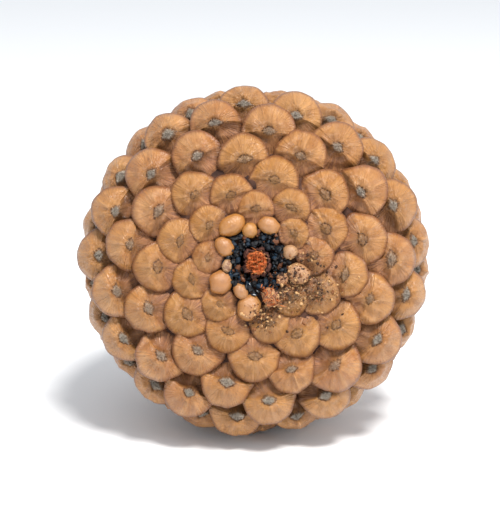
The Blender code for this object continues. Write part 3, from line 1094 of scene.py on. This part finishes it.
class Effects:
    """Shader node groups that more than one finish uses."""

    def __init__(self) -> None:
        """Builds each group once."""
        self.grain = self.make("Wood grain", "Noise")
        self.streaks = self.make("Fibre streaks", "Streaks")
        self.specks = self.make("Dust specks", "Specks")

    def make(self, name: str, kind: str) -> bpy.types.NodeTree:
        """Builds one group: a pattern on a vector, as a mask and a height.

        Args:
            name: the group's name.
            kind: Noise for an even grain, Streaks for one drawn along the vector's second
                axis, Specks for sparse dots.

        Returns:
            The group's tree.
        """
        tree = bpy.data.node_groups.new(name, "ShaderNodeTree")
        tree.interface.new_socket("Vector", in_out="INPUT", socket_type="NodeSocketVector")
        size = tree.interface.new_socket("Scale", in_out="INPUT", socket_type="NodeSocketFloat")
        size.default_value = 5.0
        amount = tree.interface.new_socket("Amount", in_out="INPUT", socket_type="NodeSocketFloat")
        amount.default_value = 0.5
        tree.interface.new_socket("Mask", in_out="OUTPUT", socket_type="NodeSocketFloat")
        tree.interface.new_socket("Height", in_out="OUTPUT", socket_type="NodeSocketFloat")
        enter = tree.nodes.new("NodeGroupInput")
        leave = tree.nodes.new("NodeGroupOutput")
        stretch = tree.nodes.new("ShaderNodeVectorMath")
        stretch.operation = "MULTIPLY"
        stretch.inputs[1].default_value = (1.0, 0.14, 1.0) if kind == "Streaks" else (1.0, 1.0, 1.0)
        noise = tree.nodes.new("ShaderNodeTexNoise")
        noise.inputs["Detail"].default_value = 2.0 if kind == "Specks" else 5.0
        noise.inputs["Roughness"].default_value = 0.6
        links = tree.links
        links.new(enter.outputs["Vector"], stretch.inputs[0])
        links.new(stretch.outputs[0], noise.inputs["Vector"])
        links.new(enter.outputs["Scale"], noise.inputs["Scale"])

        def step(operation: str, first: object, second: object, clamp: bool = False) -> bpy.types.NodeSocket:
            """One sum on two numbers inside the group."""
            made = tree.nodes.new("ShaderNodeMath")
            made.operation = operation
            made.use_clamp = clamp
            for value, socket in ((first, made.inputs[0]), (second, made.inputs[1])):
                if isinstance(value, bpy.types.NodeSocket):
                    links.new(value, socket)
                else:
                    socket.default_value = value
            return made.outputs[0]

        height = noise.outputs["Fac"]
        if kind == "Streaks":
            height = step("ABSOLUTE", step("SUBTRACT", height, 0.5), 0.0)
            mask = step("SUBTRACT", 1.0, step("MULTIPLY", height, 17.0), clamp=True)
            mask = step("MULTIPLY", mask, enter.outputs["Amount"])
            height = step("MINIMUM", step("MULTIPLY", height, 6.0), 1.0)
        else:
            highest, gain = (0.78, 14.0) if kind == "Specks" else (0.72, 4.0)
            start = step("SUBTRACT", highest, step("MULTIPLY", enter.outputs["Amount"], 0.36))
            mask = step("MULTIPLY", step("SUBTRACT", height, start), gain, clamp=True)
        links.new(mask, leave.inputs["Mask"])
        links.new(height, leave.inputs["Height"])
        return tree


@dataclass(frozen=True)
class ScaleFinish:
    """Weathered scale wood: tan outside, pinker inside, with grey umbos and purple sides; the ridges carry a
    painted highlight, and the hollows under the brows, the rims and the plates deep between the scales carry
    painted shade.
    """

    effects: Effects
    tan: Colour = (0.38, 0.155, 0.044)
    light_tan: Colour = (0.54, 0.270, 0.100)
    yellow: Colour = (0.45, 0.215, 0.052)
    pink: Colour = (0.36, 0.145, 0.062)
    brown: Colour = (0.155, 0.055, 0.024)
    purple: Colour = (0.150, 0.070, 0.058)
    # Near-black: painted shade for the plates deep between the scales.
    plate: Colour = (0.060, 0.026, 0.020)
    grey: Colour = (0.37, 0.31, 0.24)
    dark: Colour = (0.060, 0.026, 0.016)
    soil: Colour = (0.115, 0.058, 0.024)
    dust: Colour = (0.52, 0.36, 0.20)

    def material(self) -> bpy.types.Material:
        """The finish as a material."""
        shader = Shader("scale_wood")
        umbo, groove, hollow, side = shader.split("marks")
        heel, edge, crest, draw = shader.split("tones")
        flat = shader.attribute("flat").outputs["Vector"]
        polar = shader.attribute("polar").outputs["Vector"]
        soil = shader.attribute("soil").outputs["Fac"]
        broad = shader.group(self.effects.grain, vector=flat, scale=2.4, amount=0.8)
        fine = shader.group(self.effects.grain, vector=flat, scale=22.0, amount=0.7)
        lines = shader.group(self.effects.streaks, vector=polar, scale=3.6, amount=1.0)
        cracks = shader.group(self.effects.streaks, vector=flat, scale=3.0, amount=1.0)
        specks = shader.group(self.effects.specks, vector=flat, scale=13.0, amount=0.35)
        dirt = shader.group(self.effects.grain, vector=flat, scale=9.0, amount=0.75)

        colour = shader.mix(broad.outputs["Mask"], self.tan, self.light_tan)
        colour = shader.tint(colour, self.yellow, draw, 0.6)
        colour = shader.tint(colour, self.pink, heel, 0.60)
        # Painted highlight: the ridge crests are lightened towards light_tan.
        colour = shader.tint(colour, self.light_tan, crest, 0.65)
        # Browning from the streaks, cracks, fine grain and specks is the wood's own; the hollow and edge
        # entries add painted shade.
        browned_and_shaded = (
            (lines.outputs["Mask"], shader.line(heel, 0.80, 0.12)),
            (cracks.outputs["Mask"], 0.22),
            # Painted shade under the brow, over the wood's own brown.
            (hollow, 0.46),
            (fine.outputs["Mask"], 0.14),
            (specks.outputs["Mask"], 0.5),
            # Painted shade at the rim where the scales meet.
            (edge, 0.80),
        )
        for mask, share in browned_and_shaded:
            colour = shader.tint(colour, self.brown, mask, share)
        silver = shader.mix(fine.outputs["Mask"], self.grey, self.dark)
        colour = shader.mix(umbo, colour, silver)
        colour = shader.tint(colour, self.dark, groove, 0.80)
        colour = shader.tint(colour, self.soil, soil, shader.math("ADD", dirt.outputs["Mask"], 0.35))
        colour = shader.tint(colour, self.dust, soil, specks.outputs["Mask"])
        # Sides go purple, their own colour, and deeper in towards the plate colour: painted shade in the
        # gaps between the scales.
        shaded_walls = shader.mix(shader.ramp(side, 0.7, 1.0), self.purple, self.plate)
        colour = shader.mix(side, colour, shaded_walls)

        height = shader.math("MULTIPLY", fine.outputs["Height"], 0.35)
        height = shader.line(lines.outputs["Height"], 0.5, height)
        shader.bump(height, 0.00042)
        rough = shader.line(heel, 0.14, shader.line(fine.outputs["Mask"], 0.18, 0.28))
        return shader.finish(colour, rough, 0.75)


@dataclass(frozen=True)
class KnobFinish:
    """Smooth knobs from yellow to tan, some pale and dusty, some chipped."""

    effects: Effects
    tan: Colour = (0.31, 0.120, 0.040)
    light_tan: Colour = (0.42, 0.185, 0.070)
    yellow: Colour = (0.40, 0.175, 0.032)
    pale: Colour = (0.40, 0.235, 0.115)
    brown: Colour = (0.17, 0.065, 0.028)

    def material(self) -> bpy.types.Material:
        """The finish as a material."""
        shader = Shader("knob_wood")
        top, chip, _, side = shader.split("marks")
        yellow, pale, dusty, _ = shader.split("tones")
        flat = shader.attribute("flat").outputs["Vector"]
        broad = shader.group(self.effects.grain, vector=flat, scale=2.0, amount=0.8)
        fine = shader.group(self.effects.grain, vector=flat, scale=16.0, amount=0.7)
        specks = shader.group(self.effects.specks, vector=flat, scale=12.0, amount=0.62)
        colour = shader.mix(broad.outputs["Mask"], self.tan, self.light_tan)
        colour = shader.mix(yellow, colour, self.yellow)
        colour = shader.mix(pale, colour, self.pale)
        colour = shader.tint(colour, self.brown, dusty, specks.outputs["Mask"])
        colour = shader.tint(colour, self.brown, fine.outputs["Mask"], 0.12)
        for mask in (chip, top, side):
            colour = shader.mix(mask, colour, self.brown)
        shader.bump(fine.outputs["Height"], 0.0002)
        return shader.finish(colour, shader.line(dusty, 0.45, 0.22), 0.8)


@dataclass(frozen=True)
class CoreFinish:
    """Wood deep between the scales, painted nearly black: painted shade in the gaps where the core shows."""

    effects: Effects
    dark: Colour = (0.040, 0.020, 0.015)
    brown: Colour = (0.12, 0.055, 0.035)

    def material(self) -> bpy.types.Material:
        """The finish as a material."""
        shader = Shader("core_wood_in_painted_shade")
        place = shader.node("ShaderNodeTexCoord").outputs["Object"]
        grain = shader.group(self.effects.grain, vector=place, scale=260.0, amount=0.8)
        # Nearly black colours: painted shade in the gaps between the scales.
        colour = shader.mix(grain.outputs["Mask"], self.dark, self.brown)
        shader.bump(grain.outputs["Height"], 0.0005)
        return shader.finish(colour, 0.85, 0.2)


@dataclass(frozen=True)
class StubFinish:
    """Orange-red torn fibres in a ring of purple-brown bark."""

    effects: Effects
    orange: Colour = (0.62, 0.165, 0.040)
    pale: Colour = (0.74, 0.36, 0.13)
    red: Colour = (0.26, 0.045, 0.014)
    bark: Colour = (0.055, 0.018, 0.013)
    edge: Colour = (0.20, 0.075, 0.045)

    def material(self) -> bpy.types.Material:
        """The finish as a material."""
        shader = Shader("stub_wood")
        core, bark, rough, _ = shader.split("tones")
        place = shader.node("ShaderNodeTexCoord").outputs["Object"]
        grain = shader.group(self.effects.grain, vector=place, scale=900.0, amount=0.8)
        torn = shader.mix(grain.outputs["Mask"], self.orange, self.red)
        torn = shader.mix(shader.ramp(rough, 0.62, 0.85), torn, self.pale)
        rind = shader.mix(bark, self.bark, self.edge)
        rind = shader.mix(grain.outputs["Mask"], rind, self.bark)
        colour = shader.mix(core, rind, torn)
        shader.bump(grain.outputs["Height"], 0.0004)
        return shader.finish(colour, 0.68)


@dataclass(frozen=True)
class FibreFinish:
    """Torn fibres, from deep red over orange to straw."""

    red: Colour = (0.22, 0.045, 0.015)
    orange: Colour = (0.66, 0.20, 0.055)
    straw: Colour = (0.78, 0.48, 0.22)

    def material(self) -> bpy.types.Material:
        """The finish as a material."""
        shader = Shader("torn_fibre")
        first, second, _, _ = shader.split("tones")
        colour = shader.mix(shader.ramp(first, 0.1, 0.5), self.red, self.orange)
        colour = shader.mix(shader.ramp(second, 0.70, 0.85), colour, self.straw)
        return shader.finish(colour, 0.55)


@dataclass(frozen=True)
class ResinFinish:
    """Shiny dried resin, nearly black, that also stands for the shade round the stalk; the blue shards are a
    painted reflection of blue glints.
    """

    black: Colour = (0.004, 0.005, 0.007)
    blue: Colour = (0.010, 0.024, 0.042)
    amber: Colour = (0.11, 0.035, 0.010)

    def material(self) -> bpy.types.Material:
        """The finish as a material."""
        shader = Shader("dried_resin_and_shade")
        first, second, third, _ = shader.split("tones")
        # Blue on some shards: painted reflection for the blue glints.
        colour = shader.mix(shader.ramp(first, 0.72, 0.92), self.black, self.blue)
        colour = shader.mix(shader.ramp(second, 0.88, 0.93), colour, self.amber)
        return shader.finish(colour, shader.line(third, 0.5, 0.12), 0.40)


@dataclass(frozen=True)
class CrumbFinish:
    """Crumbs from black over brown to straw."""

    dark: Colour = (0.045, 0.018, 0.008)
    brown: Colour = (0.21, 0.080, 0.026)
    straw: Colour = (0.52, 0.31, 0.14)

    def material(self) -> bpy.types.Material:
        """The finish as a material."""
        shader = Shader("crumbled_bark")
        first, second, _, _ = shader.split("tones")
        colour = shader.mix(shader.ramp(first, 0.35, 0.65), self.dark, self.brown)
        colour = shader.mix(shader.ramp(second, 0.62, 0.80), colour, self.straw)
        return shader.finish(colour, 0.6)


@dataclass(frozen=True)
class FloorFinish:
    """A matt, nearly white studio floor."""

    colour: Colour = (0.93, 0.945, 0.96)

    def material(self) -> bpy.types.Material:
        """The finish as a material."""
        shader = Shader("studio_floor")
        return shader.finish(self.colour, 0.9, 0.1)


# Studio: the floor, the lights and the camera.


@dataclass(frozen=True)
class View:
    """Where the photograph was taken from, and which line of sight each of its pixels is."""

    stalk: Vector
    azimuth: float = math.radians(0.94)
    elevation: float = math.radians(15.3)
    roll: float = math.radians(0.47)
    distance: float = 0.47
    pixel: float = 0.0002648
    width: float = 500.0
    height: float = 522.0
    stalk_x: float = 256.8
    stalk_y: float = 262.3
    sensor: float = 36.0

    def axes(self) -> tuple[Vector, Vector, Vector]:
        """The picture's right and up, and the way ahead."""
        a, e = self.azimuth, self.elevation
        ahead = Vector((math.sin(a) * math.cos(e), math.cos(a) * math.cos(e), -math.sin(e)))
        level = Vector((math.cos(a), -math.sin(a), 0.0))
        above = level.cross(ahead)
        right = level * math.cos(self.roll) + above * math.sin(self.roll)
        up = above * math.cos(self.roll) - level * math.sin(self.roll)
        return right, up, ahead

    def ray(self, x: float, y: float) -> Vector:
        """Line of sight through a pixel of the photograph."""
        right, up, ahead = self.axes()
        across, above = (x - self.width / 2) * self.pixel, (self.height / 2 - y) * self.pixel
        return (ahead * self.distance + right * across + up * above).normalized()

    def eye(self) -> Vector:
        """The camera's place, from which the stalk is seen at its own pixel."""
        right, up, ahead = self.axes()
        across = (self.stalk_x - self.width / 2) * self.pixel
        above = (self.height / 2 - self.stalk_y) * self.pixel
        return self.stalk - ahead * self.distance - right * across - up * above

    def camera(self) -> None:
        """Makes the camera, and puts it in use."""
        right, up, ahead = self.axes()
        data = bpy.data.cameras.new("camera")
        data.sensor_width = self.sensor
        data.lens = self.sensor * self.distance / (self.height * self.pixel)
        camera = bpy.data.objects.new("camera", data)
        bpy.context.scene.collection.objects.link(camera)
        turned = Matrix((right, up, -ahead)).transposed().to_4x4()
        camera.matrix_world = Matrix.Translation(self.eye()) @ turned
        bpy.context.scene.camera = camera


@dataclass
class Studio:
    """A pale floor, soft light from above and a weaker one from the right."""

    floor_reach: float = 4.0
    aim_height: float = 0.04
    air_colour: Colour = (0.93, 0.96, 1.0)
    air_strength: float = 0.78

    def lamp(self, name: str, place: Vector, size: float, power: float, colour: Colour) -> None:
        """One soft lamp that looks at the cone."""
        data = bpy.data.lights.new(name, "AREA")
        data.shape = "DISK"
        data.size = size
        data.energy = power
        data.color = colour
        lamp = bpy.data.objects.new(name, data)
        bpy.context.scene.collection.objects.link(lamp)
        lamp.location = place
        aim = Vector((0.0, 0.0, self.aim_height)) - place
        lamp.rotation_euler = aim.to_track_quat("-Z", "Y").to_euler()

    def build(self) -> None:
        """Builds the studio."""
        floor = bmesh.new()
        bmesh.ops.create_grid(floor, x_segments=1, y_segments=1, size=self.floor_reach)
        data = bpy.data.meshes.new("studio_floor")
        floor.to_mesh(data)
        floor.free()
        data.materials.append(FloorFinish().material())
        piece = bpy.data.objects.new("studio_floor", data)
        bpy.context.scene.collection.objects.link(piece)
        world = bpy.data.worlds.new("studio_air")
        world.use_nodes = True
        air = world.node_tree.nodes["Background"]
        air.inputs["Color"].default_value = (*self.air_colour, 1.0)
        air.inputs["Strength"].default_value = self.air_strength
        bpy.context.scene.world = world
        self.lamp("key_light", Vector((0.18, -0.45, 0.92)), 0.26, 12.5, (1.0, 0.97, 0.94))
        self.lamp("right_light", Vector((0.7, -0.5, 0.45)), 0.4, 1.6, (1.0, 0.95, 0.93))
        bpy.context.scene.view_settings.view_transform = "Standard"


def main() -> None:
    """Builds the cone and its studio round the CAD frame."""
    logging.basicConfig(level=logging.INFO, format="%(name)s: %(message)s")
    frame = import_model()
    effects = Effects()
    growth = Growth()
    placed = growth.placed(frame["nodes"][Node.STUB.value], StalkStub.foot)
    scales = growth.scales()
    foliage = Foliage(placed)
    wood = ScaleFinish(effects).material()
    fine, coarse = Ball(64, 38), Ball(48, 32)
    form = ScaleForm()
    groups = (
        ("scales_stalk_end", 13, 50, fine),
        ("scales_shoulder", 51, 88, fine),
        ("scales_flank", 89, 140, coarse),
        ("scales_tip", 141, len(scales), coarse),
    )
    pieces = [
        foliage.build(name, scales[first - 1 : last], form, ball, wood)
        for name, first, last, ball in groups
    ]
    stalk_end = pieces[0]
    knob_wood = KnobFinish(effects).material()
    knobs = foliage.build("knobs", scales[: growth.knob_count], KnobForm(), coarse, knob_wood)
    WoodyAxis(placed).build(CoreFinish(effects).material())
    StalkStub(placed).build(Ball(96, 60), StubFinish(effects).material())
    Splinters(placed, scales[TORN_KNOB - 1]).build(FibreFinish().material())
    Resin(placed).build(ResinFinish().material())
    view = View(placed @ Vector((0.0, 0.0, 0.0)))
    Crumbs(view).build([stalk_end, knobs], CrumbFinish().material())
    view.camera()
    Studio().build()


if __name__ == "__main__":
    main()
